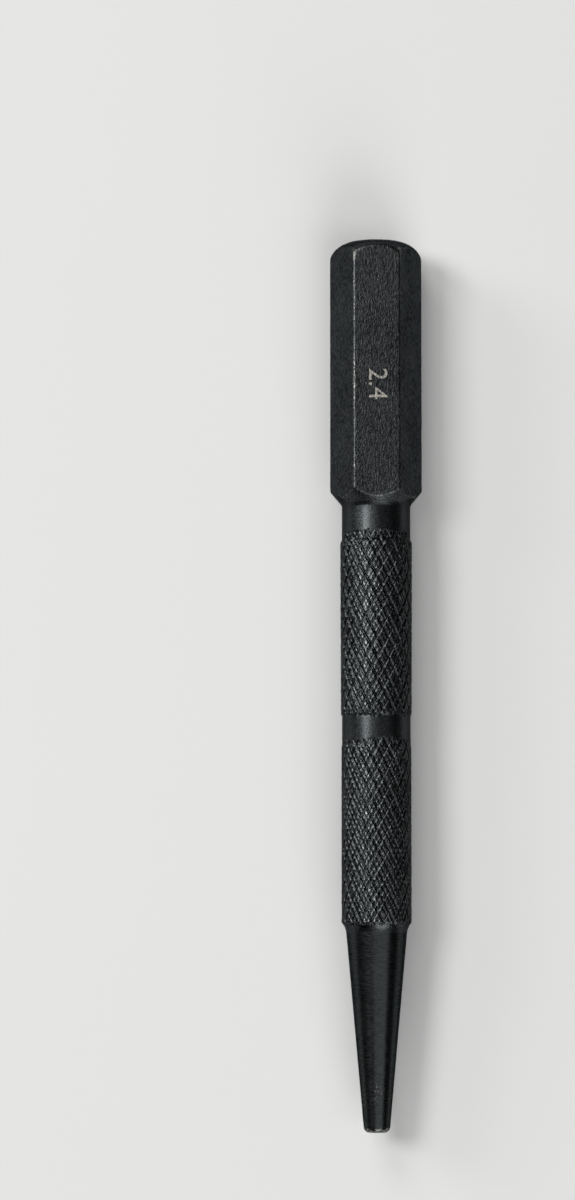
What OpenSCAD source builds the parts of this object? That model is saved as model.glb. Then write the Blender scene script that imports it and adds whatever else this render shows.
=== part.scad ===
// Nail punch turned from one length of hexagonal steel bar. From the striking end it has
// a domed crown, a hexagonal head with a turned shoulder, a round neck, a diamond knurled
// grip in two lengths with a plain band between them, a tapered shank and a cupped point.
// The bar is one piece of steel. Each zone of it is a solid of its own, and the zones meet
// face to face on flat planes square to the axis.

/* [Bar] */
// Length of the whole tool, from the point to the striking face
overall_l = 100; // [92:1:120]
// Width of the hexagonal bar across its flats
head_af = 9; // [8.9:0.1:11]
// Depth taken off each long edge of the hexagonal bar
edge_break = 0.04; // [0.02:0.01:0.2]

/* [Head] */
// Length from the striking face down to where the shoulder runs out in the neck
head_l = 29.9; // [22:0.1:36]
// Length of the crown zone, measured down from the striking face
crown_l = 3; // [2.6:0.1:6]
// Diameter of the flat in the middle of the striking face
crown_flat_d = 4.7; // [3:0.1:5]
// How far the domed crown falls from that flat to the corners of the hexagon
crown_drop = 1.85; // [1.2:0.05:2.2]
// Slope of the shoulder under the hexagon, in degrees from the axis
shoulder_angle = 40; // [35:1:50]

/* [Neck and band] */
// Diameter of the plain turned barrel, at the neck and at the band
barrel_d = 7.7; // [7.3:0.1:7.9]
// Radius of the fillet between the neck and the shoulder
neck_fillet_r = 0.8; // [0.6:0.1:1.3]
// Length of plain neck from the shoulder to the knurling
neck_l = 3.2; // [1.6:0.1:6]
// Length of the plain band between the two knurled lengths
band_l = 3.5; // [1.5:0.1:6]

/* [Knurling] */
// Length of the upper knurling, next to the neck
upper_knurl_l = 19.8; // [14:0.2:24]
// Length of the lower knurling, next to the shank
lower_knurl_l = 20.2; // [14:0.2:24]
// Number of grooves in each of the two crossing sets
knurl_starts = 19; // [15:1:24]
// Distance along the tool from one groove to the next of its set
knurl_pitch = 2.3; // [1.9:0.1:3]
// Height of the upper crests above the barrel, at the neck
upper_raise = 0.2; // [0.1:0.01:0.3]
// Height of the upper crests above the barrel, at the band
upper_foot_raise = 0.13; // [0.08:0.01:0.3]
// Height of the lower crests above the barrel
lower_raise = 0.08; // [0.05:0.01:0.3]
// Depth of the main grooves of the upper knurling
upper_groove = 0.3; // [0.15:0.01:0.4]
// Depth of the second track that splits each upper diamond in four
upper_track = 0.18; // [0.05:0.01:0.3]
// Depth of the main grooves of the lower knurling
lower_groove = 0.12; // [0.05:0.01:0.3]
// Depth of the second track that splits each lower diamond in four
lower_track = 0.17; // [0.05:0.01:0.3]
// Length over which the knurling runs out where it meets plain barrel
knurl_runout = 1.2; // [0.6:0.1:2.5]
// Length over which the lower knurling breaks off at the chamfer
chamfer_runout = 0.3; // [0.1:0.1:1]

/* [Shank and point] */
// Diameter of the shank at its thick end
shank_d = 6.9; // [6:0.1:7.2]
// Length of the chamfer between the shank and the knurling
chamfer_l = 0.7; // [0.3:0.1:2]
// Length of the point zone at the end of the shank
point_l = 4; // [2:0.5:8]
// Diameter that the taper reaches at its very end, before the edge is rounded
tip_d = 2.87; // [2.7:0.01:4]
// Radius that rounds the edge of the tip
tip_round_r = 0.65; // [0.3:0.05:0.7]
// Diameter of the hollow ground in the tip, which keeps it on the nail
cup_d = 1.2; // [0.6:0.1:1.4]
// Depth of that hollow
cup_depth = 0.2; // [0.1:0.05:0.3]

/* [Hidden] */

// Facets of a full turn, for surfaces that are truly round
round_facets = 96;
// How far a cutting shape runs past what it cuts
overrun = 1;
// Fine columns and rows to one groove: crest and hollow of the second track, twice over
track_steps = 4;

head_r = head_af / 2;
corner_r = head_r / cos(30);
barrel_r = barrel_d / 2;
shank_r = shank_d / 2;
tip_r = tip_d / 2;

// Places along the axis, from the end of the point
head_z = overall_l - head_l;
neck_z = head_z - neck_l;
band_z = neck_z - upper_knurl_l - band_l;
grip_z = band_z - lower_knurl_l;
shank_l = grip_z - chamfer_l;
crown_z = overall_l - crown_l;

// The crown is an arc that leaves the flat of the face and reaches the corners crown_drop lower
crown_flat_r = crown_flat_d / 2;
crown_arc_r = (pow(corner_r - crown_flat_r, 2) + pow(crown_drop, 2)) / (2 * crown_drop);

// The neck fillet touches the barrel and the slope of the shoulder at equal distances
fillet_run = neck_fillet_r * tan(shoulder_angle / 2);
fillet_top_r = barrel_r + fillet_run * sin(shoulder_angle);
fillet_top_z = head_z + fillet_run * cos(shoulder_angle);

// The taper, and the rounding that touches both it and the end of the tip
taper_angle = atan((shank_r - tip_r) / shank_l);
tip_land_r = tip_r + tip_round_r * tan(taper_angle) - tip_round_r / cos(taper_angle);
cup_r = cup_d / 2;
cup_sphere_r = (pow(cup_r, 2) + pow(cup_depth, 2)) / (2 * cup_depth);

// Radius of the tapered shank at a place along the axis
function taper_r(z) = tip_r + z * tan(taper_angle);

// Height across one groove and land: 0 in the groove, 1 midway to the next
function land(turns) = 1 - abs(2 * (turns - floor(turns)) - 1);

// How much of its full depth the knurling has at a distance from an end, where it runs out
// over the given length
function runout_share(distance, runout) = min(1, distance / runout);

// Puts a shape drawn upright, with its point at the origin, down on one flat of its hexagon,
// striking face toward +X
module lay_down() {
  translate([-overall_l / 2, 0, head_r])
    rotate([0, 90, 0])
      children();
}

// Blackened steel, a little lighter where it was turned
module head_finish() {
  color([0.19, 0.2, 0.21])
    children();
}

module turned_finish() {
  color([0.14, 0.15, 0.16])
    children();
}

module knurl_finish() {
  color([0.1, 0.1, 0.11])
    children();
}

// Hexagonal bar with its long edges broken, one flat facing each way along X
module hex_bar(length) {
  linear_extrude(height = length)
    intersection() {
      rotate(30)
        circle(r = corner_r, $fn = 6);
      circle(r = (corner_r - edge_break) / cos(30), $fn = 6);
    }
}

// A length of diamond knurling, computed as one surface. Two sets of grooves cross at the
// helix angle that the pitch and the number of starts give. Between the main grooves runs
// the shallower second track, which splits each diamond in four. Rows and columns fall on
// the crests and the groove crossings, so every groove is a straight run of edges.
module knurled_length(length, foot_raise, top_raise, groove, track, foot_runout) {
  columns = track_steps * knurl_starts;
  rows = round(track_steps * length / knurl_pitch);
  row_l = length / rows;
  full_height = max(groove, groove / 2 + track);
  main_land = function(i, j) min(land((i + j) / track_steps), land((i - j) / track_steps));
  track_land = function(i, j) (i + j) % 2;
  crest_r = function(j) barrel_r + foot_raise + (top_raise - foot_raise) * j / rows;
  cut_r = function(i, j) crest_r(j) - full_height + groove * main_land(i, j) + track * track_land(i, j);
  foot_share = function(j) runout_share(j * row_l, foot_runout);
  top_share = function(j) runout_share((rows - j) * row_l, knurl_runout);
  depth_share = function(j) min(foot_share(j), top_share(j));
  surface_r = function(i, j) barrel_r + (cut_r(i, j) - barrel_r) * depth_share(j);
  points = [
    for (j = [0 : rows])
      for (i = [0 : columns - 1])
        let (angle = 360 * i / columns, r = surface_r(i, j))
          [r * cos(angle), r * sin(angle), j * row_l]
  ];
  at = function(i, j) j * columns + i % columns;
  sides = [
    for (j = [0 : rows - 1])
      for (i = [0 : columns - 1])
        for (half = [0, 1])
          let (a = at(i, j), b = at(i + 1, j), c = at(i + 1, j + 1), d = at(i, j + 1))
            (i + j) % 2 == 0
              ? (half == 0 ? [a, c, b] : [a, d, c])
              : (half == 0 ? [a, d, b] : [b, d, c])
  ];
  foot = [for (i = [0 : columns - 1]) at(i, 0)];
  top = [for (i = [columns - 1 : -1 : 0]) at(i, rows)];
  polyhedron(points = points, faces = concat([foot], sides, [top]));
}

// Domed end of the hexagonal bar that the hammer meets
module striking_crown() {
  head_finish()
    lay_down()
      translate([0, 0, crown_z])
        intersection() {
          hex_bar(crown_l);
          rotate_extrude($fn = round_facets)
            intersection() {
              square([corner_r, crown_l]);
              union() {
                square([crown_flat_r, crown_l]);
                translate([crown_flat_r, crown_l - crown_arc_r])
                  circle(r = crown_arc_r, $fn = round_facets);
              }
            }
        }
}

// Hexagonal head, whose flats run out in scallops on the turned shoulder
module hex_head() {
  slope_l = (corner_r + overrun - fillet_top_r) / tan(shoulder_angle);
  shoulder_profile = [
    [0, fillet_top_z],
    [fillet_top_r, fillet_top_z],
    [corner_r + overrun, fillet_top_z + slope_l],
    [corner_r + overrun, crown_z],
    [0, crown_z]
  ];
  head_finish()
    lay_down()
      intersection() {
        translate([0, 0, fillet_top_z])
          hex_bar(crown_z - fillet_top_z);
        rotate_extrude($fn = round_facets)
          polygon(shoulder_profile);
      }
}

// Plain neck, flaring in a fillet to the shoulder
module neck() {
  neck_profile = [
    [0, neck_z],
    [barrel_r, neck_z],
    [barrel_r, head_z - fillet_run],
    [fillet_top_r, fillet_top_z],
    [0, fillet_top_z]
  ];
  turned_finish()
    lay_down()
      rotate_extrude($fn = round_facets)
        difference() {
          polygon(neck_profile);
          translate([barrel_r + neck_fillet_r, head_z - fillet_run])
            circle(r = neck_fillet_r, $fn = round_facets);
        }
}

// Upper knurling, whose crests rise toward the neck
module upper_knurl() {
  knurl_finish()
    lay_down()
      translate([0, 0, band_z + band_l])
        knurled_length(upper_knurl_l, upper_foot_raise, upper_raise, upper_groove, upper_track, knurl_runout);
}

// Plain band between the knurled lengths
module grip_band() {
  turned_finish()
    lay_down()
      translate([0, 0, band_z])
        cylinder(h = band_l, r = barrel_r, $fn = round_facets);
}

// Lower knurling, cut right up to the chamfer
module lower_knurl() {
  knurl_finish()
    lay_down()
      translate([0, 0, grip_z])
        knurled_length(lower_knurl_l, lower_raise, lower_raise, lower_groove, lower_track, chamfer_runout);
}

// Tapered shank with the chamfer that leads up to the grip
module tapered_shank() {
  shank_profile = [
    [0, point_l],
    [taper_r(point_l), point_l],
    [shank_r, shank_l],
    [barrel_r, grip_z],
    [0, grip_z]
  ];
  turned_finish()
    lay_down()
      rotate_extrude($fn = round_facets)
        polygon(shank_profile);
}

// End of the taper with its rounded edge, and the hollow ground in its face
module cupped_point() {
  point_profile = [
    [0, 0],
    [tip_land_r, 0],
    [tip_land_r, tip_round_r],
    [tip_land_r + tip_round_r * cos(taper_angle), tip_round_r * (1 - sin(taper_angle))],
    [taper_r(point_l), point_l],
    [0, point_l]
  ];
  turned_finish()
    lay_down()
      difference() {
        rotate_extrude($fn = round_facets)
          intersection() {
            square([shank_r, point_l]);
            union() {
              polygon(point_profile);
              translate([tip_land_r, tip_round_r])
                circle(r = tip_round_r, $fn = round_facets);
            }
          }
        translate([0, 0, cup_depth - cup_sphere_r])
          sphere(r = cup_sphere_r, $fn = round_facets);
      }
}

striking_crown();
hex_head();
neck();
upper_knurl();
grip_band();
lower_knurl();
tapered_shank();
cupped_point();
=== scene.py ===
import math
import bmesh
import bpy
import numpy as np
from mathutils import Matrix, Vector


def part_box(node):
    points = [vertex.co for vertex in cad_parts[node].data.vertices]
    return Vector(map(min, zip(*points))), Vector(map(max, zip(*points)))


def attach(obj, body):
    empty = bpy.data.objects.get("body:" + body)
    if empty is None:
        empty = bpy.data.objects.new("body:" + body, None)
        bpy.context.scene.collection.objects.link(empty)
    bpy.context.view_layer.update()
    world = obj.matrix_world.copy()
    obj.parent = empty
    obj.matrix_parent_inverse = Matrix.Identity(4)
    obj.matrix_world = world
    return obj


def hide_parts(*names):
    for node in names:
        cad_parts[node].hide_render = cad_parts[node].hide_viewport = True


# A nail punch in blackened steel, lying on one flat of its hexagonal head with its point toward -X.
# Lengths are in metres. Angles run round the bar from its top, which faces the camera.

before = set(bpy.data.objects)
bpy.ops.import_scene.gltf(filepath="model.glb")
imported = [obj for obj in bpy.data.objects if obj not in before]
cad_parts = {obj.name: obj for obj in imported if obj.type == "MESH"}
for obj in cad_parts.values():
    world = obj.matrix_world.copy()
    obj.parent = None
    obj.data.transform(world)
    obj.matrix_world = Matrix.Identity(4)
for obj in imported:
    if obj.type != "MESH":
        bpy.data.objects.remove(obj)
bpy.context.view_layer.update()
mm = 0.001
mergeDistance = 0.0005 * mm
axisHeight = sum(corner.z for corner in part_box("grip_band")) / 2
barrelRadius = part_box("grip_band")[1].z - axisHeight


# Shared helpers

def zone(node):
    low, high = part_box(node)
    return low.x, high.x


def onBar(along, radius, angle):
    # A place on the bar from its distance along it, its radius and its angle
    return np.stack([along, -radius * np.sin(angle), axisHeight + radius * np.cos(angle)], axis=1)


def softStep(value, start, end):
    t = np.clip((value - start) / (end - start), 0, 1)
    return t * t * (3 - 2 * t)


def softMin(a, b, soft):
    # The lower of two outlines, with their corner rounded over about the given width
    return np.minimum(a, b) - np.clip(soft - np.abs(a - b), 0, None) ** 2 / (4 * soft)


def patchNoise(turn, share, cells, seed):
    # Smooth noise from -1 to 1 that closes on itself round the bar. Its cells are counted round and along.
    cellsRound, cellsAlong = cells
    table = np.random.default_rng(seed).uniform(-1, 1, (cellsRound, cellsAlong + 2))
    a = (turn % 1) * cellsRound
    b = np.clip(share, 0, 1) * cellsAlong
    a0 = np.floor(a).astype(int)
    b0 = np.floor(b).astype(int)
    fa = a - a0
    fb = b - b0
    fa = fa * fa * (3 - 2 * fa)
    fb = fb * fb * (3 - 2 * fb)
    a1 = (a0 + 1) % cellsRound
    a0 = a0 % cellsRound
    low = table[a0, b0] * (1 - fa) + table[a1, b0] * fa
    high = table[a0, b0 + 1] * (1 - fa) + table[a1, b0 + 1] * fa
    return low * (1 - fb) + high * fb


def closeEnds(bm):
    # Flat caps with a crisp rim, so that the side is shaded as a straight one
    rim = [e for e in bm.edges if e.is_boundary]
    bmesh.ops.holes_fill(bm, edges=rim, sides=0)
    bmesh.ops.recalc_face_normals(bm, faces=bm.faces)
    for edge in rim:
        edge.smooth = False
    for face in bm.faces:
        face.smooth = True


def wrappedPiece(name, columns, rows, shape):
    # A grid wrapped round the bar by the shape function, closed along its seam and at its ends.
    # The function returns the places of the points and any masks that the material reads.
    bm = bmesh.new()
    bmesh.ops.create_grid(bm, x_segments=columns, y_segments=rows, size=0.5)
    mesh = bpy.data.meshes.new(name)
    bm.to_mesh(mesh)
    bm.free()
    flat = np.empty(len(mesh.vertices) * 3)
    mesh.vertices.foreach_get("co", flat)
    flat = flat.reshape(-1, 3) + 0.5
    places, masks = shape(flat[:, 0], flat[:, 1])
    mesh.vertices.foreach_set("co", places.astype(np.float32).ravel())
    for maskName, values in masks.items():
        layer = mesh.attributes.new(maskName, "FLOAT", "POINT")
        layer.data.foreach_set("value", values.astype(np.float32))
    bm = bmesh.new()
    bm.from_mesh(mesh)
    rim = [v for v in bm.verts if v.is_boundary]
    bmesh.ops.remove_doubles(bm, verts=rim, dist=mergeDistance)
    closeEnds(bm)
    bm.to_mesh(mesh)
    bm.free()
    return placePiece(name, mesh)


def placePiece(name, mesh):
    piece = bpy.data.objects.new(name, mesh)
    bpy.context.scene.collection.objects.link(piece)
    return piece


def spunPiece(name, profile, steps):
    # A turned piece: the profile, as (along, radius) points, spun round the bar
    bm = bmesh.new()
    points = [bm.verts.new((along, 0, axisHeight + radius)) for along, radius in profile]
    edges = [bm.edges.new(pair) for pair in zip(points, points[1:])]
    bmesh.ops.spin(bm, geom=points + edges, cent=(0, 0, axisHeight), axis=(1, 0, 0),
                   angle=2 * math.pi, steps=steps, use_merge=True)
    bmesh.ops.remove_doubles(bm, verts=bm.verts, dist=mergeDistance)
    closeEnds(bm)
    mesh = bpy.data.meshes.new(name)
    bm.to_mesh(mesh)
    bm.free()
    return placePiece(name, mesh)


def arcPoints(centre, radius, fromDegrees, toDegrees, count):
    # Points of an arc in the profile plane, as (along, radius)
    turns = np.radians(np.linspace(fromDegrees, toDegrees, count))
    return [(centre[0] + radius * math.cos(t), centre[1] + radius * math.sin(t)) for t in turns]


# Camera

view = {
    "pixelsTall": 1200,
    "scale": 8842,               # pixels to a metre at the striking face
    "distance": 500 * mm,        # from the striking face
    "lean": 4.4,                 # degrees toward the point
    "turn": 0.56,                # degrees round the bar, toward its left side
    "facePlace": (9.965 * mm, 40.39 * mm),  # striking face, right of and above the middle of the frame
    "clipStart": 0.01,
    "clipEnd": 50
}


def makeCamera():
    lean = math.radians(view["lean"])
    turn = math.radians(view["turn"])
    right = Vector((0, -math.cos(turn), math.sin(turn)))
    out = Vector((0, math.sin(turn), math.cos(turn)))
    up = Vector((math.cos(lean), 0, 0)) + out * math.sin(lean)
    back = out * math.cos(lean) - Vector((math.sin(lean), 0, 0))
    face = Vector((zone("striking_crown")[1], 0, axisHeight))
    spot = face - right * view["facePlace"][0] - up * view["facePlace"][1] + back * view["distance"]
    data = bpy.data.cameras.new("camera")
    data.sensor_fit = "AUTO"
    data.lens = data.sensor_width * view["scale"] * view["distance"] / view["pixelsTall"]
    data.clip_start = view["clipStart"]
    data.clip_end = view["clipEnd"]
    camera = bpy.data.objects.new("camera", data)
    camera.matrix_world = Matrix((
        (right.x, up.x, back.x, spot.x),
        (right.y, up.y, back.y, spot.y),
        (right.z, up.z, back.z, spot.z),
        (0, 0, 0, 1)
    ))
    bpy.context.scene.collection.objects.link(camera)
    bpy.context.scene.camera = camera


makeCamera()
print("camera ready")


# Materials

def addNode(tree, kind, values=None, **settings):
    node = tree.nodes.new(kind)
    for name, value in settings.items():
        setattr(node, name, value)
    for name, value in (values or {}).items():
        node.inputs[name].default_value = value
    return node


def link(tree, source, target):
    tree.links.new(source, target)


def newGroup(name, inputs, outputs):
    group = bpy.data.node_groups.new(name, "ShaderNodeTree")
    for socketName, kind, value in inputs:
        socket = group.interface.new_socket(socketName, in_out="INPUT", socket_type=kind)
        socket.default_value = value
    for socketName, kind in outputs:
        group.interface.new_socket(socketName, in_out="OUTPUT", socket_type=kind)
    entry = group.nodes.new("NodeGroupInput")
    leave = group.nodes.new("NodeGroupOutput")
    return group, entry, leave


def stretchedNoise(tree, stretch, detail, roughness=0.6):
    # Noise on Object coordinates, with its own number of features to a metre each way
    place = addNode(tree, "ShaderNodeTexCoord")
    mapping = addNode(tree, "ShaderNodeMapping", {"Scale": stretch})
    noise = addNode(tree, "ShaderNodeTexNoise", {"Scale": 1.0, "Detail": detail, "Roughness": roughness})
    link(tree, place.outputs["Object"], mapping.inputs["Vector"])
    link(tree, mapping.outputs["Vector"], noise.inputs["Vector"])
    return noise


def remap(tree, source, low, high, toLow, toHigh):
    node = addNode(tree, "ShaderNodeMapRange", {
        "From Min": low, "From Max": high, "To Min": toLow, "To Max": toHigh})
    link(tree, source, node.inputs["Value"])
    return node.outputs["Result"]


def combine(tree, operation, first, second):
    node = addNode(tree, "ShaderNodeMath", operation=operation)
    for place, value in enumerate((first, second)):
        if isinstance(value, (int, float)):
            node.inputs[place].default_value = value
        else:
            link(tree, value, node.inputs[place])
    return node.outputs["Value"]


filmPattern = {                        # scales are features to a metre, along, across and up
    "cloudScale": (260, 420, 420),
    "cloudDetail": 4,
    "cloudRange": (0.3, 0.7),           # of the noise, from no share to the full one
    "cloudShare": 0.3,
    "speckleDetail": 2,
    "speckleRange": (0.38, 0.62),
    "speckleShare": 0.7,
    "evenShare": 0.5,                   # share of the light tone at which the roughness is as set
    # roughness that the painted shade adds at its full strength
    "paintedShadeRoughness": 0.12
}


def makeOxideGroup():
    # Blackened film: broad clouds and a fine speckle, as a tone and a change of roughness, darkened and
    # roughened by painted shade where the shade amount is set
    group, entry, leave = newGroup("blackOxideFilm", [
        ("Dark", "NodeSocketColor", (0.05, 0.05, 0.05, 1)),
        ("Light", "NodeSocketColor", (0.1, 0.1, 0.1, 1)),
        ("Roughness", "NodeSocketFloat", 0.4),
        ("Unevenness", "NodeSocketFloat", 0.06),
        ("PaintedShade", "NodeSocketFloat", 0.0),
        ("Speckles", "NodeSocketVector", (6000, 6000, 6000))
    ], [("Tone", "NodeSocketColor"), ("Roughness", "NodeSocketFloat")])
    clouds = stretchedNoise(group, filmPattern["cloudScale"], filmPattern["cloudDetail"])
    speckle = stretchedNoise(group, (1, 1, 1), filmPattern["speckleDetail"])
    link(group, entry.outputs["Speckles"], speckle.inputs["Vector"].links[0].from_node.inputs["Scale"])
    cloudShare = remap(group, clouds.outputs["Fac"], *filmPattern["cloudRange"],
                       0, filmPattern["cloudShare"])
    speckleShare = remap(group, speckle.outputs["Fac"], *filmPattern["speckleRange"],
                         0, filmPattern["speckleShare"])
    share = combine(group, "ADD", cloudShare, speckleShare)
    # Painted shade: the shade amount pulls the tone toward the dark one, and below it adds roughness
    share = combine(group, "MULTIPLY", share, combine(group, "SUBTRACT", 1.0, entry.outputs["PaintedShade"]))
    tone = addNode(group, "ShaderNodeMix", data_type="RGBA")
    link(group, share, tone.inputs["Factor"])
    link(group, entry.outputs["Dark"], tone.inputs["A"])
    link(group, entry.outputs["Light"], tone.inputs["B"])
    uneven = combine(group, "SUBTRACT", share, filmPattern["evenShare"])
    spread = combine(group, "MULTIPLY", uneven, entry.outputs["Unevenness"])
    rough = combine(group, "ADD", entry.outputs["Roughness"], spread)
    dull = combine(group, "MULTIPLY", entry.outputs["PaintedShade"], filmPattern["paintedShadeRoughness"])
    rough = combine(group, "ADD", rough, dull)
    link(group, tone.outputs["Result"], leave.inputs["Tone"])
    link(group, rough, leave.inputs["Roughness"])
    return group


wearPattern = {
    "fleckScale": (4200, 5200, 5200),
    "fleckDetail": 3,
    "fleckRoughness": 0.7,
    "fleckReach": 0.65,                 # how far the flecks shift the mask, up or down
    "runScale": (190, 300, 300),
    "runDetail": 2,
    "runReach": 0.35,                   # how far the longer runs do
    "noiseRange": (0.3, 0.7),
    "limit": 1.15,                      # level that wear starts from at a reach of 0
    "softness": 0.35,                   # further level that full wear takes
    "gate": 0.12                        # mask under which wear fades out
}


def makeWearGroup():
    # Breaks a soft edge mask into the bright flecks and rubbed line of a handled edge
    group, entry, leave = newGroup("rubbedEdge", [
        ("Mask", "NodeSocketFloat", 0.0),
        ("Reach", "NodeSocketFloat", 0.5)
    ], [("Wear", "NodeSocketFloat")])
    flecks = stretchedNoise(group, wearPattern["fleckScale"], wearPattern["fleckDetail"],
                            wearPattern["fleckRoughness"])
    runs = stretchedNoise(group, wearPattern["runScale"], wearPattern["runDetail"])
    broken = remap(group, flecks.outputs["Fac"], *wearPattern["noiseRange"],
                   -wearPattern["fleckReach"], wearPattern["fleckReach"])
    longer = remap(group, runs.outputs["Fac"], *wearPattern["noiseRange"],
                   -wearPattern["runReach"], wearPattern["runReach"])
    level = combine(group, "ADD", entry.outputs["Mask"], combine(group, "ADD", broken, longer))
    limit = combine(group, "SUBTRACT", wearPattern["limit"], entry.outputs["Reach"])
    over = combine(group, "SUBTRACT", level, limit)
    gate = remap(group, entry.outputs["Mask"], 0, wearPattern["gate"], 0, 1)
    wear = combine(group, "MULTIPLY", remap(group, over, 0, wearPattern["softness"], 0, 1), gate)
    link(group, wear, leave.inputs["Wear"])
    return group


grainPattern = {
    "streakScale": (1400, 5000, 5000),
    "pitScale": (3600, 5200, 5200),
    "detail": 2
}


def makeGrainGroup():
    # Short lengthwise grain of drawn and blasted bar, as a height in metres
    group, entry, leave = newGroup("drawnGrain", [
        ("Depth", "NodeSocketFloat", 1.0)
    ], [("Height", "NodeSocketFloat")])
    streaks = stretchedNoise(group, grainPattern["streakScale"], grainPattern["detail"])
    pits = stretchedNoise(group, grainPattern["pitScale"], grainPattern["detail"])
    height = combine(group, "ADD", streaks.outputs["Fac"], pits.outputs["Fac"])
    link(group, combine(group, "MULTIPLY", height, entry.outputs["Depth"]), leave.inputs["Height"])
    return group


turningPattern = {
    "ringScale": (7000, 260, 260),
    "pitScale": (5000, 5000, 5000),
    "detail": 2
}


def makeTurningGroup():
    # Fine rings left by the lathe tool, with a trace of blasting over them, as a height in metres
    group, entry, leave = newGroup("turningMarks", [
        ("Rings", "NodeSocketFloat", 1.0),
        ("Pits", "NodeSocketFloat", 1.0)
    ], [("Height", "NodeSocketFloat")])
    rings = stretchedNoise(group, turningPattern["ringScale"], turningPattern["detail"])
    pits = stretchedNoise(group, turningPattern["pitScale"], turningPattern["detail"])
    ringHeight = combine(group, "MULTIPLY", rings.outputs["Fac"], entry.outputs["Rings"])
    pitHeight = combine(group, "MULTIPLY", pits.outputs["Fac"], entry.outputs["Pits"])
    link(group, combine(group, "ADD", ringHeight, pitHeight), leave.inputs["Height"])
    return group


strokePattern = {
    "helix": math.radians(30.2),        # lead of the grooves from the axis
    "scale": (1400, 6000, 1),           # strokes to a metre along and across a groove
    "detail": 1.5,
    "roughness": 0.6,
    "range": (0.42, 0.68),              # of the noise, from no height to the full one
    "pitScale": (5400, 5400, 5400),
    "pitDetail": 2
}


def makeStrokesGroup():
    # Fine strokes that the rolls leave along both sets of grooves, as a height in metres
    group, entry, leave = newGroup("rolledStrokes", [
        ("Depth", "NodeSocketFloat", 1.0),
        ("Pits", "NodeSocketFloat", 1.0)
    ], [("Height", "NodeSocketFloat")])
    place = addNode(group, "ShaderNodeTexCoord")
    part = addNode(group, "ShaderNodeSeparateXYZ")
    link(group, place.outputs["Object"], part.inputs["Vector"])
    above = combine(group, "SUBTRACT", part.outputs["Z"], axisHeight)
    turn = combine(group, "ARCTAN2", part.outputs["Y"], above)
    arc = combine(group, "MULTIPLY", turn, barrelRadius)
    unrolled = addNode(group, "ShaderNodeCombineXYZ")
    link(group, part.outputs["X"], unrolled.inputs["X"])
    link(group, arc, unrolled.inputs["Y"])
    heights = []
    for side in (1, -1):
        rotated = addNode(group, "ShaderNodeVectorRotate", {"Angle": side * strokePattern["helix"]},
                          rotation_type="Z_AXIS")
        mapping = addNode(group, "ShaderNodeMapping", {
            "Scale": strokePattern["scale"], "Location": (side, side, 0)})
        noise = addNode(group, "ShaderNodeTexNoise", {
            "Scale": 1.0, "Detail": strokePattern["detail"], "Roughness": strokePattern["roughness"]})
        link(group, unrolled.outputs["Vector"], rotated.inputs["Vector"])
        link(group, rotated.outputs["Vector"], mapping.inputs["Vector"])
        link(group, mapping.outputs["Vector"], noise.inputs["Vector"])
        heights.append(remap(group, noise.outputs["Fac"], *strokePattern["range"], 0, 1))
    strokeHeight = combine(group, "MULTIPLY", combine(group, "MAXIMUM", *heights), entry.outputs["Depth"])
    pits = stretchedNoise(group, strokePattern["pitScale"], strokePattern["pitDetail"])
    pitHeight = combine(group, "MULTIPLY", pits.outputs["Fac"], entry.outputs["Pits"])
    link(group, combine(group, "ADD", strokeHeight, pitHeight), leave.inputs["Height"])
    return group


blackOxideFilm = makeOxideGroup()
rubbedEdge = makeWearGroup()
drawnGrain = makeGrainGroup()
turningMarks = makeTurningGroup()
rolledStrokes = makeStrokesGroup()


def placeGroup(tree, group, values):
    node = tree.nodes.new("ShaderNodeGroup")
    node.node_tree = group
    for name, value in values.items():
        node.inputs[name].default_value = value
    return node


def makeSteel(name, film, heightGroup, heightValues, glance, paintedShadeMask=None, wearMask=None, wearReach=0.5,
              brightSteel=None, wornRoughness=0.3):
    # Blackened steel: the film's tone, the bright metal where it is rubbed through, a fine relief, and
    # painted shade where a shade mask is given
    material = bpy.data.materials.new(name)
    material.use_nodes = True
    tree = material.node_tree
    shader = tree.nodes["Principled BSDF"]
    shader.inputs["Metallic"].default_value = 1.0
    shader.inputs["Specular Tint"].default_value = (glance, glance, glance, 1)   # dark film at a glance
    oxide = placeGroup(tree, blackOxideFilm, film)
    relief = placeGroup(tree, heightGroup, heightValues)
    bump = addNode(tree, "ShaderNodeBump", {"Strength": 1.0, "Distance": 1.0})
    link(tree, relief.outputs["Height"], bump.inputs["Height"])
    link(tree, bump.outputs["Normal"], shader.inputs["Normal"])
    tone = oxide.outputs["Tone"]
    rough = oxide.outputs["Roughness"]
    # Painted shade from the named mask: a darker, rougher film
    if paintedShadeMask:
        paintedShade = addNode(tree, "ShaderNodeAttribute", attribute_name=paintedShadeMask)
        link(tree, paintedShade.outputs["Fac"], oxide.inputs["PaintedShade"])
    if wearMask:
        mask = addNode(tree, "ShaderNodeAttribute", attribute_name=wearMask)
        wear = placeGroup(tree, rubbedEdge, {"Reach": wearReach})
        link(tree, mask.outputs["Fac"], wear.inputs["Mask"])
        worn = addNode(tree, "ShaderNodeMix", {"B": brightSteel}, data_type="RGBA")
        link(tree, wear.outputs["Wear"], worn.inputs["Factor"])
        link(tree, tone, worn.inputs["A"])
        wornRough = addNode(tree, "ShaderNodeMix", {"B": wornRoughness}, data_type="FLOAT")
        link(tree, wear.outputs["Wear"], wornRough.inputs["Factor"])
        link(tree, rough, wornRough.inputs["A"])
        tone = worn.outputs["Result"]
        rough = wornRough.outputs["Result"]
    link(tree, tone, shader.inputs["Base Color"])
    link(tree, rough, shader.inputs["Roughness"])
    return material


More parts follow.
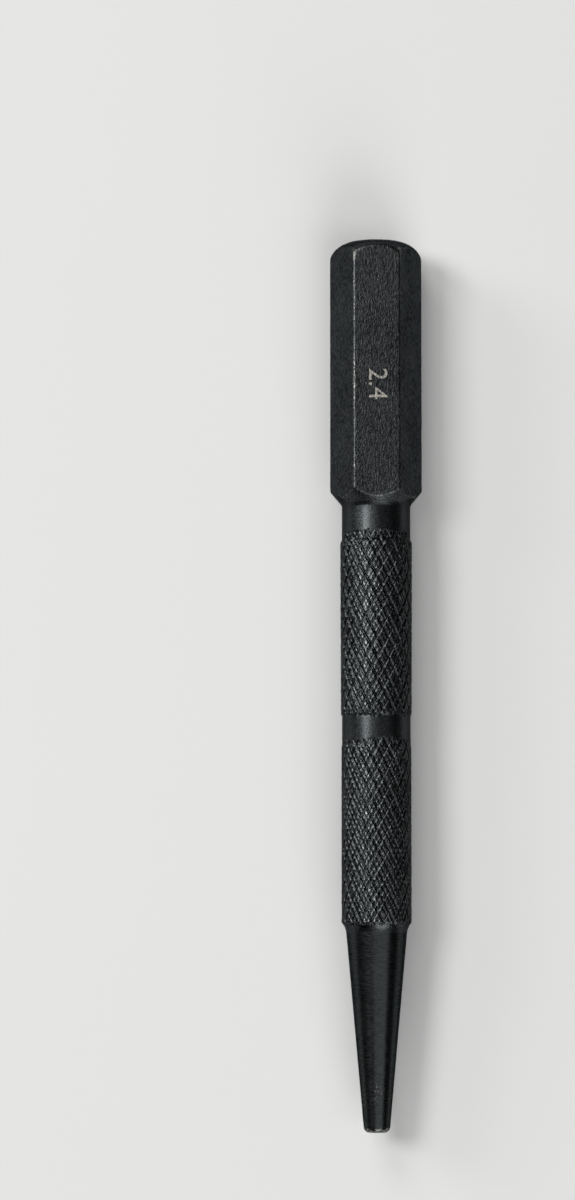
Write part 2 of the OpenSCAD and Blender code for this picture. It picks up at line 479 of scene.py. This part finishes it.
hexSteel = makeSteel(
    "hexSteel",
    {"Dark": (0.022, 0.0241, 0.0252, 1), "Light": (0.071, 0.076, 0.0785, 1), "Roughness": 0.31,
     "Unevenness": 0.08, "Speckles": (2600, 5600, 5600)},
    drawnGrain, {"Depth": 0.032 * mm}, glance=0.33,
    wearMask="edgeWear", wearReach=0.34, brightSteel=(0.17, 0.17, 0.162, 1)
)
# Turned steel, with painted shade in the corner under the shoulder from its mask
turnedSteel = makeSteel(
    "turnedSteel",
    {"Dark": (0.025, 0.0275, 0.0288, 1), "Light": (0.058, 0.063, 0.0644, 1), "Roughness": 0.32,
     "Unevenness": 0.08, "Speckles": (5600, 4800, 4800)},
    turningMarks, {"Rings": 0.002 * mm, "Pits": 0.014 * mm}, glance=0.42, paintedShadeMask="cornerPaintedShade"
)
shankSteel = makeSteel(
    "shankSteel",
    {"Dark": (0.023, 0.0253, 0.0265, 1), "Light": (0.047, 0.0512, 0.0523, 1), "Roughness": 0.3,
     "Unevenness": 0.08, "Speckles": (6500, 1500, 1500)},
    turningMarks, {"Rings": 0.004 * mm, "Pits": 0.009 * mm}, glance=0.36,
    wearMask="tipWear", wearReach=0.5, brightSteel=(0.22, 0.224, 0.215, 1)
)
knurledSteel = makeSteel(
    "knurledSteel",
    {"Dark": (0.014, 0.0154, 0.0162, 1), "Light": (0.071, 0.0766, 0.079, 1), "Roughness": 0.24,
     "Unevenness": 0.08, "Speckles": (4400, 5000, 5000)},
    rolledStrokes, {"Depth": 0.008 * mm, "Pits": 0.0115 * mm}, glance=0.4,
    wearMask="crestShare", wearReach=0.32, brightSteel=(0.095, 0.1, 0.1, 1), wornRoughness=0.24
)
etchedSteel = makeSteel(
    "etchedSteel",
    {"Dark": (0.1, 0.1, 0.092, 1), "Light": (0.62, 0.6, 0.54, 1), "Roughness": 0.62, "Unevenness": 0.1,
     "Speckles": (8500, 8500, 8500)},
    drawnGrain, {"Depth": 0.03 * mm}, glance=0.8
)


def dress(piece, material, slot, *nodes):
    piece.data.materials.clear()
    piece.data.materials.append(material)
    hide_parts(*nodes)
    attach(piece, "root")


print("materials ready")


# Hexagonal head with its crown and shoulder

head = {
    "flatRadius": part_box("hex_head")[1].z - axisHeight,
    "neckFlareRadius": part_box("neck")[1].z - axisHeight,   # where the neck hands over to the shoulder
    "shoulderSlope": 40,                # degrees from the axis
    "crownFlatRadius": 2.35 * mm,
    "crownDrop": 1.85 * mm,             # from the middle of the face to the corners
    "cornerRounding": 0.26 * mm,
    "shoulderSoftness": 0.11 * mm,      # rounding where the shoulder cuts the flats
    "crownSoftness": 0.2 * mm,          # rounding where the crown cuts the flats
    "wornWidth": 0.28 * mm,             # reach of the rubbed line on each side of an edge
    "edgeShare": 0.85,                  # how far an edge is rubbed through
    "fleckWidth": 0.7 * mm,             # reach of the scattered flecks
    "fleckShare": 0.42,
    "scallopWear": 1.0,
    "pointWear": 1.1,                   # of the six points between crown and flats
    "pointWidth": 0.8 * mm,
    "nickDepth": 0.03 * mm,             # of the deepest nick in a long edge
    "nickCells": (24, 150),             # round the bar and along the head's outline
    "nickSeed": 5,
    "nickStart": 0.35,                  # level of the noise that a nick starts from
    "nickFade": 0.2,                    # how far the same noise thins the rubbed line
    "columnsPerFlat": 48,
    "cornerCrowding": 1.65,
    "scallopRows": 44,
    "sideRows": 36,
    "crownRows": 46,
    "faceRows": 10,
    "innermostShare": 0.01              # of the crown's flat, left to one small face in its middle
}
flatAngle = math.radians(60)           # that each flat takes up round the bar


def hexRadius(angle, s):
    # Radius of the hexagonal bar with rounded corners, and the distance from the nearest corner line
    half = flatAngle / 2
    toCorner = np.abs(angle % flatAngle - half)
    flat = s["flatRadius"] / np.cos(half - toCorner)
    cornerRadius = s["flatRadius"] / math.cos(half)
    centre = cornerRadius - s["cornerRounding"] / math.cos(half)
    reach = math.atan2(s["cornerRounding"] * math.sin(half),
                       centre + s["cornerRounding"] * math.cos(half))
    under = np.clip(s["cornerRounding"] ** 2 - (centre * np.sin(toCorner)) ** 2, 0, None)
    rounded = centre * np.cos(toCorner) + np.sqrt(under)
    return np.where(toCorner < reach, rounded, flat), toCorner * cornerRadius


def headProfile(s):
    # Outline of the lathe work on the head, from the neck's flare to the middle of the face
    start, end = zone("hex_head")[0], zone("striking_crown")[1]
    cornerRadius = s["flatRadius"] / math.cos(flatAngle / 2)
    past = cornerRadius + s["crownSoftness"]
    slope = math.tan(math.radians(s["shoulderSlope"]))
    shoulderEnd = start + (past - s["neckFlareRadius"]) / slope
    crownReach = cornerRadius - s["crownFlatRadius"]
    crownRadius = (crownReach ** 2 + s["crownDrop"] ** 2) / (2 * s["crownDrop"])
    widest = math.asin((past - s["crownFlatRadius"]) / crownRadius)
    crownStart = end - crownRadius * (1 - math.cos(widest))
    along, radius = [], []
    for t in np.linspace(0, 1, s["scallopRows"], endpoint=False):
        along.append(start + (shoulderEnd - start) * t)
        radius.append(s["neckFlareRadius"] + (past - s["neckFlareRadius"]) * t)
    for t in np.linspace(0, 1, s["sideRows"], endpoint=False):
        along.append(shoulderEnd + (crownStart - shoulderEnd) * t)
        radius.append(past + s["crownSoftness"])
    for t in np.linspace(widest, 0, s["crownRows"], endpoint=False):
        along.append(end - crownRadius * (1 - math.cos(t)))
        radius.append(s["crownFlatRadius"] + crownRadius * math.sin(t))
    for t in np.linspace(1, s["innermostShare"], s["faceRows"]):
        along.append(end)
        radius.append(s["crownFlatRadius"] * t)
    return np.array(along), np.array(radius)


def headShape(turn, share):
    s = head
    columns = 6 * s["columnsPerFlat"]
    column = np.round(turn * columns)
    half = s["columnsPerFlat"] / 2
    local = (column % s["columnsPerFlat"]) / half - 1
    crowded = np.sign(local) * np.abs(local) ** s["cornerCrowding"]
    angle = np.floor(column / s["columnsPerFlat"]) * flatAngle + flatAngle / 2 * (1 + crowded)
    along, lathed = headProfile(s)
    row = np.round(share * (len(along) - 1)).astype(int)
    hexagon, fromCorner = hexRadius(angle, s)
    gap = np.abs(lathed[row] - hexagon)
    crownSide = along[row] > zone("striking_crown")[0]
    radius = softMin(lathed[row], hexagon, np.where(crownSide, s["crownSoftness"], s["shoulderSoftness"]))
    cornerWear = 1 - softStep(fromCorner, 0, s["wornWidth"])
    cornerWear *= lathed[row] > hexagon
    edgeWear = (1 - softStep(gap, 0, s["wornWidth"])) * np.where(crownSide, 1, s["scallopWear"])
    nicks = patchNoise(angle / (2 * math.pi), share, s["nickCells"], s["nickSeed"])
    radius -= s["nickDepth"] * cornerWear * np.clip(nicks - s["nickStart"], 0, 1)
    fromEdge = np.minimum(np.where(lathed[row] > hexagon, fromCorner, 1), gap)
    flecks = 1 - softStep(fromEdge, 0, s["fleckWidth"])
    thinned = 1 - s["nickFade"] + s["nickFade"] * nicks
    wear = s["edgeShare"] * np.maximum(cornerWear, edgeWear) * thinned
    wear = np.maximum(wear, s["fleckShare"] * flecks * (lathed[row] > hexagon))
    points = (1 - softStep(fromCorner, 0, s["pointWidth"])) * (1 - softStep(gap, 0, s["pointWidth"]))
    wear = np.maximum(wear, s["pointWear"] * points * crownSide)
    return onBar(along[row], radius, angle), {"edgeWear": wear}


mark = {
    "text": "2.4",                      # nominal size of the point
    "size": 3.0 * mm,                   # of the type
    "fromFace": 16.6 * mm,              # middle of the mark, from the striking face
    "depth": 0.02 * mm,
    "crispAngle": 50                    # degrees above which an edge stays sharp
}


def etchMark(piece, s):
    # Cuts the mark into the flat that faces up. It reads from the head toward the point.
    typeCurve = bpy.data.curves.new("markType", "FONT")
    typeCurve.body = s["text"]
    typeCurve.size = s["size"]
    typeCurve.align_x = "CENTER"
    typeCurve.align_y = "CENTER"
    typeCurve.extrude = s["depth"]
    letters = bpy.data.objects.new("markType", typeCurve)
    bpy.context.scene.collection.objects.link(letters)
    graph = bpy.context.evaluated_depsgraph_get()
    cutterMesh = bpy.data.meshes.new_from_object(letters.evaluated_get(graph))
    spot = (zone("striking_crown")[1] - s["fromFace"], 0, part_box("hex_head")[1].z)
    cutterMesh.transform(Matrix.Translation(spot) @ Matrix.Rotation(math.pi, 4, "Z"))
    cutterMesh.materials.clear()
    cutterMesh.materials.append(etchedSteel)
    cutter = placePiece("markCutter", cutterMesh)
    cut = piece.modifiers.new("mark", "BOOLEAN")
    cut.object = cutter
    cut.solver = "EXACT"
    cut.material_mode = "TRANSFER"
    graph = bpy.context.evaluated_depsgraph_get()
    piece.data = bpy.data.meshes.new_from_object(piece.evaluated_get(graph))
    piece.modifiers.clear()
    for spare in (cutter, letters):
        bpy.data.objects.remove(spare)
    bm = bmesh.new()
    bm.from_mesh(piece.data)
    for edge in bm.edges:
        if len(edge.link_faces) == 2 and edge.calc_face_angle() > math.radians(s["crispAngle"]):
            edge.smooth = False
    bm.to_mesh(piece.data)
    bm.free()


headRows = len(headProfile(head)[0]) - 1
hexHead = wrappedPiece("hexHeadPiece", 6 * head["columnsPerFlat"], headRows, headShape)
dress(hexHead, hexSteel, "blackened_hex_bar", "hex_head", "striking_crown")
etchMark(hexHead, mark)
print("head ready:", len(hexHead.data.polygons), "faces")


# Turned neck, band, shank and point

turned = {
    "steps": 256,
    "filletRadius": 0.8 * mm,
    "shoulderSlope": 40,
    "filletPoints": 14,
    "neckPoints": 7,
    "shankRadius": 3.45 * mm,
    "chamferLength": 0.7 * mm,
    "chamferDrop": 0.5 * mm,            # from the crests of the knurling to the shank
    "collarLength": 1.2 * mm,           # the chamfer and the fillet below it
    "collarFillet": 0.3 * mm,
    "collarRows": 26,
    "collarLand": 0.05 * mm,            # plain stretch over the chamfer
    "collarSoftness": 0.06 * mm,        # rounding of the chamfer's upper edge
    "collarBlendShare": 0.25,           # of the collar, over which it grows out of the shank
    "collarRub": 0.1 * mm,              # depth under the crests at which the rubbing ends
    "knurledLength": 0.68 * mm,         # of the collar that has the knurling's steel
    "knurledRagged": 0.06 * mm,
    "raggedWaves": 40,
    "tipRadius": 1.435 * mm,            # of the taper at its very end, before it is rounded
    "tipRounding": 0.65 * mm,
    "tipPoints": 16,
    "shankPoints": 24,
    "cupRadius": 0.6 * mm,
    "cupDepth": 0.2 * mm,
    "cupPoints": 10,
    "cupStart": 0.5,                    # degrees off the axis, left to one small face in the hollow
    "paintedShade": 0.6,                        # strength of the painted shade under the shoulder, a darker tone with a rougher finish
    "paintedShadeReach": 1.1 * mm,              # its length down the neck
    "tipWear": 0.16,                    # of the taper, fading up from the end of the point
    "tipWearReach": 14 * mm,
    "endWear": 1.5,                     # of the rounded edge round the end
    "endWearReach": 0.9 * mm,
    "neckFootLength": 0.6 * mm          # stretch of the neck that the upper knurling runs out on
}


def neckProfile(s):
    start, end = zone("neck")[0] + s["neckFootLength"], zone("neck")[1]
    slope = math.radians(s["shoulderSlope"])
    run = s["filletRadius"] * math.tan(slope / 2)
    filletStart = end - run - run * math.cos(slope)
    centre = (filletStart, barrelRadius + s["filletRadius"])
    fillet = arcPoints(centre, s["filletRadius"], -90, -90 + s["shoulderSlope"], s["filletPoints"])
    return [(along, barrelRadius) for along in
            np.linspace(start, filletStart, s["neckPoints"], endpoint=False)] + fillet


def taperRadius(along, s):
    tip, thick = zone("cupped_point")[0], zone("tapered_shank")[1] - s["chamferLength"]
    return s["tipRadius"] + (s["shankRadius"] - s["tipRadius"]) * (along - tip) / (thick - tip)


def shankProfile(s):
    tip, end = zone("cupped_point")[0], zone("tapered_shank")[1]
    thick = end - s["chamferLength"]
    collar = end - s["collarLength"]
    taper = math.atan2(s["shankRadius"] - s["tipRadius"], thick - tip)
    landRadius = s["tipRadius"] + s["tipRounding"] * (math.tan(taper) - 1 / math.cos(taper))
    cupSphere = (s["cupRadius"] ** 2 + s["cupDepth"] ** 2) / (2 * s["cupDepth"])
    cupAngle = math.degrees(math.asin(s["cupRadius"] / cupSphere))
    cup = arcPoints((tip + s["cupDepth"] - cupSphere, 0), cupSphere,
                    s["cupStart"], cupAngle, s["cupPoints"])
    edge = arcPoints((tip + s["tipRounding"], landRadius), s["tipRounding"], 180,
                     90 + math.degrees(taper), s["tipPoints"])
    stretch = np.linspace(tip + 2 * s["tipRounding"], collar, s["shankPoints"])
    return cup + edge + [(along, taperRadius(along, s)) for along in stretch]


def fadingMask(piece, name, along, *fades):
    # A mask that is strongest at one place along the bar and fades over each reach
    layer = piece.data.attributes.new(name, "FLOAT", "POINT")
    for point, value in zip(piece.data.vertices, layer.data):
        value.value = max(strength * max(1 - abs(point.co.x - along) / reach, 0) for strength, reach in fades)


neckPiece = spunPiece("neckPiece", neckProfile(turned), turned["steps"])
# Painted shade: the neck's tone darkens toward the shoulder and fades down the neck
fadingMask(neckPiece, "cornerPaintedShade", zone("neck")[1], (turned["paintedShade"], turned["paintedShadeReach"]))
dress(neckPiece, turnedSteel, "blackened_turned_steel", "neck")
shankPiece = spunPiece("shankPiece", shankProfile(turned), turned["steps"])
fadingMask(shankPiece, "tipWear", zone("cupped_point")[0], (turned["tipWear"], turned["tipWearReach"]),
           (turned["endWear"], turned["endWearReach"]))
dress(shankPiece, shankSteel, "blackened_turned_steel", "tapered_shank", "cupped_point")
print("turned pieces ready")


# Knurling

knurling = {
    "starts": 19,                      # grooves in each of the two crossing sets
    "pitch": 2.3 * mm,                 # along the bar, from groove to groove
    "columns": 456,
    "rows": 214,
    "neckFootRows": 8,
    "bandRows": 40,
    "flank": 1.5,                      # above 1 a groove steepens toward its bottom
    "biteShares": (0.8, 1.12),         # of the depth, for the shallowest and the deepest groove
    "trackBiteShares": (0.5, 1.25),    # the same for the tracks, the fine grooves halfway between
    "trackShiftShare": 0.045,          # of the step between grooves, by which a track strays
    "crossingShare": 0.12,             # of the shallower groove that adds to the deeper at a crossing
    "rubbedShare": 0.5,                # of a groove's depth down to which the metal is rubbed
    "wander": {"strength": 0.05, "cells": (9, 6), "seedStep": 1},
    "pressure": {"strength": 0.16, "cells": (14, 14), "seedStep": 2},
    "finePressure": {"strength": 0.2, "cells": (41, 29), "seedStep": 5},
    "crumble": {"strength": 0.009 * mm, "cells": (150, 130), "seedStep": 3},
    "broadCrumble": {"strength": 0.009 * mm, "cells": (57, 46), "seedStep": 4}
}
upperKnurl = {                         # widths are shares of the step between grooves
    "node": "upper_knurl", "name": "upperKnurlPiece", "seed": 11,
    "footRaise": 0.13 * mm, "topRaise": 0.2 * mm,
    "groove": 0.14 * mm, "grooveWidth": 0.16,
    "track": 0.07 * mm, "trackWidth": 0.09,
    "dome": 0.035 * mm,                # fall of a diamond from its middle to the grooves, for each set
    # Lengths at an end count inward from it, and those under zero run past it
    "footEnd": {"from": -1.0 * mm, "ragged": 0.55 * mm, "fade": 0.3 * mm},
    "topEnd": {"from": -0.4 * mm, "ragged": 0.3 * mm, "fade": 0.3 * mm},
    "footRise": {"from": -0.75 * mm, "fade": 0.35 * mm},
    "topRise": {"from": 0.6 * mm, "fade": 0.5 * mm}
}
lowerKnurl = {
    "node": "lower_knurl", "name": "lowerKnurlPiece", "seed": 23,
    "footRaise": 0.08 * mm, "topRaise": 0.08 * mm,
    "groove": 0.135 * mm, "grooveWidth": 0.14,
    "track": 0.075 * mm, "trackWidth": 0.11,
    "dome": 0.03 * mm,
    "footEnd": {"from": -0.5 * mm, "ragged": 0.2 * mm, "fade": 0.25 * mm},
    "topEnd": {"from": -0.4 * mm, "ragged": 0.35 * mm, "fade": 0.2 * mm},
    "footRise": {"from": -0.5 * mm, "fade": 0.3 * mm},
    "topRise": {"from": 0.3 * mm, "fade": 0.5 * mm}
}


def fadeEnds(along, s, footStart, topStart, footFade, topFade):
    # How far something has grown, from where it starts near the foot and near the top
    start, end = zone(s["node"])
    return softStep(along - start - footStart, 0, footFade) * softStep(end - along - topStart, 0, topFade)


def grooveFade(along, s, footShare, topShare):
    foot, top = s["footEnd"], s["topEnd"]
    footStart = foot["from"] + footShare * foot["ragged"]
    topStart = top["from"] + topShare * top["ragged"]
    return fadeEnds(along, s, footStart, topStart, foot["fade"], top["fade"])


def riseFade(along, s):
    foot, top = s["footRise"], s["topRise"]
    return fadeEnds(along, s, foot["from"], top["from"], foot["fade"], top["fade"])


def grooveDepth(phase, along, s, rng):
    # Depth of one set of grooves where the phase counts them, whole at each main groove
    starts = knurling["starts"]
    bite = rng.uniform(*knurling["biteShares"], starts)
    trackBite = rng.uniform(*knurling["trackBiteShares"], starts)
    shift = rng.normal(0, knurling["trackShiftShare"], starts)
    footStarts = rng.uniform(0, 1, starts)
    topStarts = rng.uniform(0, 1, starts)
    main = np.round(phase)
    number = main.astype(int) % starts
    mainCut = np.clip(1 - np.abs(phase - main) / s["grooveWidth"], 0, 1) ** knurling["flank"] * bite[number]
    mainCut *= grooveFade(along, s, footStarts[number], topStarts[number])
    half = np.floor(phase)
    number = half.astype(int) % starts
    offset = np.abs(phase - half - 0.5 - shift[number])
    trackCut = np.clip(1 - offset / s["trackWidth"], 0, 1) * trackBite[number]
    trackCut *= grooveFade(along, s, footStarts[number], topStarts[number])
    dome = (1 - 2 * np.abs(phase - main)) ** 2
    return np.maximum(s["groove"] * mainCut, s["track"] * trackCut), s["dome"] * dome


def rollNoise(turn, share, s, *layers):
    # Uneven patches that the rolls leave, summed over the named layers
    noise = 0
    for layer in layers:
        patches = knurling[layer]
        seed = s["seed"] + patches["seedStep"]
        noise += patches["strength"] * patchNoise(turn, share, patches["cells"], seed)
    return noise


def knurlDepth(turn, along, s):
    # Depth of both sets together, with the uneven pressure of the rolls
    start, end = zone(s["node"])
    share = (along - start) / (end - start)
    rng = np.random.default_rng(s["seed"])
    across = knurling["starts"] * turn + rollNoise(turn, share, s, "wander")
    count = (along - start) / knurling["pitch"]
    right, rightDome = grooveDepth(across + count, along, s, rng)
    left, leftDome = grooveDepth(across - count, along, s, rng)
    pressure = 1 + rollNoise(turn, share, s, "pressure", "finePressure")
    cut = (np.maximum(right, left) + knurling["crossingShare"] * np.minimum(right, left)) * pressure
    return cut + (rightDome + leftDome) * riseFade(along, s)


def crestShare(depth, s):
    return 1 - np.clip(depth / (knurling["rubbedShare"] * s["groove"]), 0, 1)


def knurlRelief(turn, along, s):
    # Height of the knurling over the plain barrel, and how far each place is a crest
    start, end = zone(s["node"])
    share = np.clip((along - start) / (end - start), 0, 1)
    depth = knurlDepth(turn, along, s)
    rise = riseFade(along, s)
    raised = (s["footRaise"] + (s["topRaise"] - s["footRaise"]) * share) * rise
    crumbled = rollNoise(turn, share, s, "crumble", "broadCrumble") * rise
    return raised - depth + crumbled, crestShare(depth, s) * rise


def knurledStretch(name, start, end, rows, *knurls):
    # A stretch of the barrel with whatever of each knurling reaches it
    def shape(turn, share):
        along = start + (end - start) * share
        radius, crests = np.full_like(along, barrelRadius), np.zeros_like(along)
        for s in knurls:
            height, crest = knurlRelief(turn, along, s)
            radius += height
            crests = np.maximum(crests, crest)
        return onBar(along, radius, 2 * math.pi * turn + math.pi), {"crestShare": crests}

    piece = wrappedPiece(name, knurling["columns"], rows, shape)
    print(name, "ready:", len(piece.data.polygons), "faces")
    return piece


def collarShape(turn, share):
    # The chamfer that the lower knurling runs onto, and the fillet from it to the shank
    end = zone("tapered_shank")[1]
    along = end - turned["collarLength"] * (1 - share)
    crest = barrelRadius + lowerKnurl["footRaise"]
    slope = turned["chamferDrop"] / turned["chamferLength"]
    chamfer = crest - slope * (end - along - turned["collarLand"])
    outline = softMin(np.full_like(along, crest), chamfer, turned["collarSoftness"])
    depth = knurlDepth(turn, along, lowerKnurl)
    shank = taperRadius(along, turned)
    radius = -softMin(-shank, depth - outline, turned["collarFillet"])
    radius = shank + (radius - shank) * softStep(share, 0, turned["collarBlendShare"])
    rubbed = crestShare(depth, lowerKnurl) * softStep(outline, crest - turned["collarRub"], crest)
    return onBar(along, radius, 2 * math.pi * turn + math.pi), {"crestShare": rubbed}


def splitCollar(piece, s):
    # Gives the chamfer the knurling's steel, down to the ragged line where the rolls let go
    piece.data.materials.append(knurledSteel)
    for face in piece.data.polygons:
        angle = math.atan2(face.center.y, face.center.z - axisHeight)
        ragged = s["knurledRagged"] * math.sin(s["raggedWaves"] * angle)
        face.material_index = int(face.center.x > zone("tapered_shank")[1] - s["knurledLength"] + ragged)


for settings in (upperKnurl, lowerKnurl):
    foot, top = zone(settings["node"])
    dress(knurledStretch(settings["name"], foot, top, knurling["rows"], settings),
          knurledSteel, "blackened_knurling", settings["node"])
neckFoot = zone("neck")[0]
dress(knurledStretch("neckFootPiece", neckFoot, neckFoot + turned["neckFootLength"],
                     knurling["neckFootRows"], upperKnurl),
      turnedSteel, "blackened_turned_steel", "neck")
dress(knurledStretch("bandPiece", *zone("grip_band"), knurling["bandRows"], upperKnurl, lowerKnurl),
      turnedSteel, "blackened_turned_steel", "grip_band")
collar = wrappedPiece("knurledChamferPiece", knurling["columns"], turned["collarRows"], collarShape)
dress(collar, turnedSteel, "blackened_turned_steel", "tapered_shank")
splitCollar(collar, turned)
print("collar ready:", len(collar.data.polygons), "faces")


# Floor and lights

studio = {
    "floorSize": 6.0,
    "floorColour": (0.78, 0.78, 0.77, 1),
    "floorRoughness": 0.9,
    "mottleScale": (6, 6, 6),
    "mottleDetail": 3,
    "mottleShade": 0.97,                # of the floor's darker patches
    "worldColour": (0.9, 0.95, 1.0, 1),
    "worldStrength": 0.03
}
lamps = {                              # angles in degrees, toward the head and toward the left of the frame
    "keyLamp": {"toHead": 15, "toLeft": 37, "distance": 1.4, "size": (0.44, 0.44), "power": 8.2},
    "topLamp": {"toHead": 17, "toLeft": 13, "distance": 1.4, "size": (0.44, 0.44), "power": 1.6},
    "headLamp": {"toHead": 46, "toLeft": 28, "distance": 1.4, "size": (0.52, 0.52), "power": 3.8},
    "leftLamp": {"toHead": 46, "toLeft": 66, "distance": 1.4, "size": (0.48, 0.48), "power": 5.0},
    "pointLamp": {"toHead": -19, "toLeft": -15, "distance": 1.4, "size": (1.6, 0.48), "power": 3.9},
    "lowLamp": {"toHead": -56, "toLeft": -20, "distance": 1.4, "size": (0.9, 0.88), "power": 8.2}
}


def makeFloor():
    bm = bmesh.new()
    bmesh.ops.create_grid(bm, x_segments=2, y_segments=2, size=studio["floorSize"] / 2)
    mesh = bpy.data.meshes.new("floor")
    bm.to_mesh(mesh)
    bm.free()
    floor = placePiece("floor", mesh)
    material = bpy.data.materials.new("floorPaint")
    material.use_nodes = True
    tree = material.node_tree
    shader = tree.nodes["Principled BSDF"]
    shader.inputs["Roughness"].default_value = studio["floorRoughness"]
    clouds = stretchedNoise(tree, studio["mottleScale"], studio["mottleDetail"])
    shaded = tuple(studio["mottleShade"] * part for part in studio["floorColour"][:3]) + (1,)
    tone = addNode(tree, "ShaderNodeMix", {"A": studio["floorColour"], "B": shaded}, data_type="RGBA")
    link(tree, clouds.outputs["Fac"], tone.inputs["Factor"])
    link(tree, tone.outputs["Result"], shader.inputs["Base Color"])
    mesh.materials.append(material)


def makeLamp(name, s):
    data = bpy.data.lights.new(name, "AREA")
    data.shape = "RECTANGLE"
    data.size, data.size_y = s["size"]     # across the bar and along it
    data.energy = s["power"]
    headSlope = math.tan(math.radians(s["toHead"]))
    leftSlope = math.tan(math.radians(s["toLeft"]))
    toward = Vector((headSlope, leftSlope, 1)).normalized()
    lamp = bpy.data.objects.new(name, data)
    across = (Vector((0, 1, 0)) - toward * toward.y).normalized()
    axes = Matrix((across, toward.cross(across), toward)).transposed()
    lamp.matrix_world = Matrix.Translation(toward * s["distance"]) @ axes.to_4x4()
    bpy.context.scene.collection.objects.link(lamp)


def makeWorld():
    world = bpy.data.worlds.new("studio")
    bpy.context.scene.world = world
    world.use_nodes = True
    background = world.node_tree.nodes["Background"]
    background.inputs["Color"].default_value = studio["worldColour"]
    background.inputs["Strength"].default_value = studio["worldStrength"]


makeFloor()
for lampName, lampSettings in lamps.items():
    makeLamp(lampName, lampSettings)
makeWorld()
bpy.context.scene.view_settings.view_transform = "Standard"
print("stage and lights ready")
